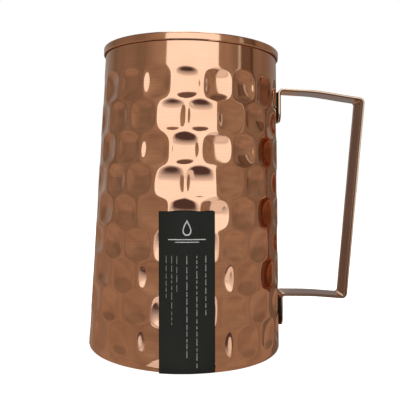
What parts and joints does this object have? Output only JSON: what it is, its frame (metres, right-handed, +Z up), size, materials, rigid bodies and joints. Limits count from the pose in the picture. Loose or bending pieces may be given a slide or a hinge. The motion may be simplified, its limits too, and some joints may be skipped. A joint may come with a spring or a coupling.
{
  "type": "copper jug",
  "caption": "Tall tapered hammered copper jug with a folded rim strip, a riveted flat strap handle on black sealing pads, and a plain dark label band.",
  "frame": {"origin": "centre of the resting face, on the jug's axis", "axes": "+Z up along the jug's axis; +X towards the handle; the label faces -Y"},
  "size_m": [0.1611, 0.1145, 0.1752],
  "materials": {
    "hammered_copper": "hand-hammered copper, polished, with fine brushing round the jug",
    "base_copper": "brushed copper",
    "rim_copper": "polished copper",
    "handle_copper": "copper strap brushed along its length",
    "black_rubber": "matte",
    "rivet_copper": "polished copper",
    "label_paper": "satin black paper"
  },
  "bodies": {
    "root": {"vessel_wall": "hammered_copper", "base_disc": "base_copper", "rim_band": "rim_copper", "handle_strap": "handle_copper", "upper_pad": "black_rubber", "lower_pad": "black_rubber", "upper_rivets": "rivet_copper", "lower_rivets": "rivet_copper", "upper_roves": "rivet_copper", "lower_roves": "rivet_copper", "label": "label_paper"}
  },
  "joints": []
}
